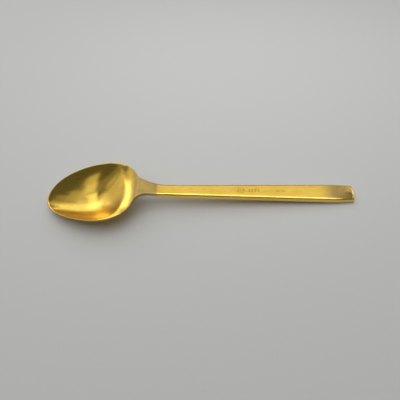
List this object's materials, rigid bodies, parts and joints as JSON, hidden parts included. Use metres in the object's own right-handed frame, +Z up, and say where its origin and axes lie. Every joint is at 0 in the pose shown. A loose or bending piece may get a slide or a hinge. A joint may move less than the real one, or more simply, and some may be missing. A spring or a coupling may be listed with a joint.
{
  "type": "souvenir spoon",
  "caption": "Small brushed gold-tone spoon with an egg-shaped bowl, a narrow neck and a flat straight bar handle, for stirring, sipping or display.",
  "frame": {"origin": "on the table, under the middle of the bounding box, with the spoon lying as it rests: on the belly of the bowl and the lower edge of the handle's end", "axes": "+X along the spoon from the bowl's tip to the handle's end, +Y across it, +Z up, out of the bowl's open side"},
  "size_m": [0.1504, 0.034, 0.0121],
  "materials": {
    "bowl_metal": "soft polish over faint lengthwise brushing, glossier than the bar, with fine tarnish",
    "neck_metal": "satin, duller than the bar",
    "stem_metal": "satin, brushed lengthwise, with polished edges",
    "end_metal": "satin, tarnished brown"
  },
  "bodies": {
    "root": {"bowl": "bowl_metal", "neck": "neck_metal", "stem": "stem_metal", "handle_end": "end_metal"}
  },
  "joints": []
}
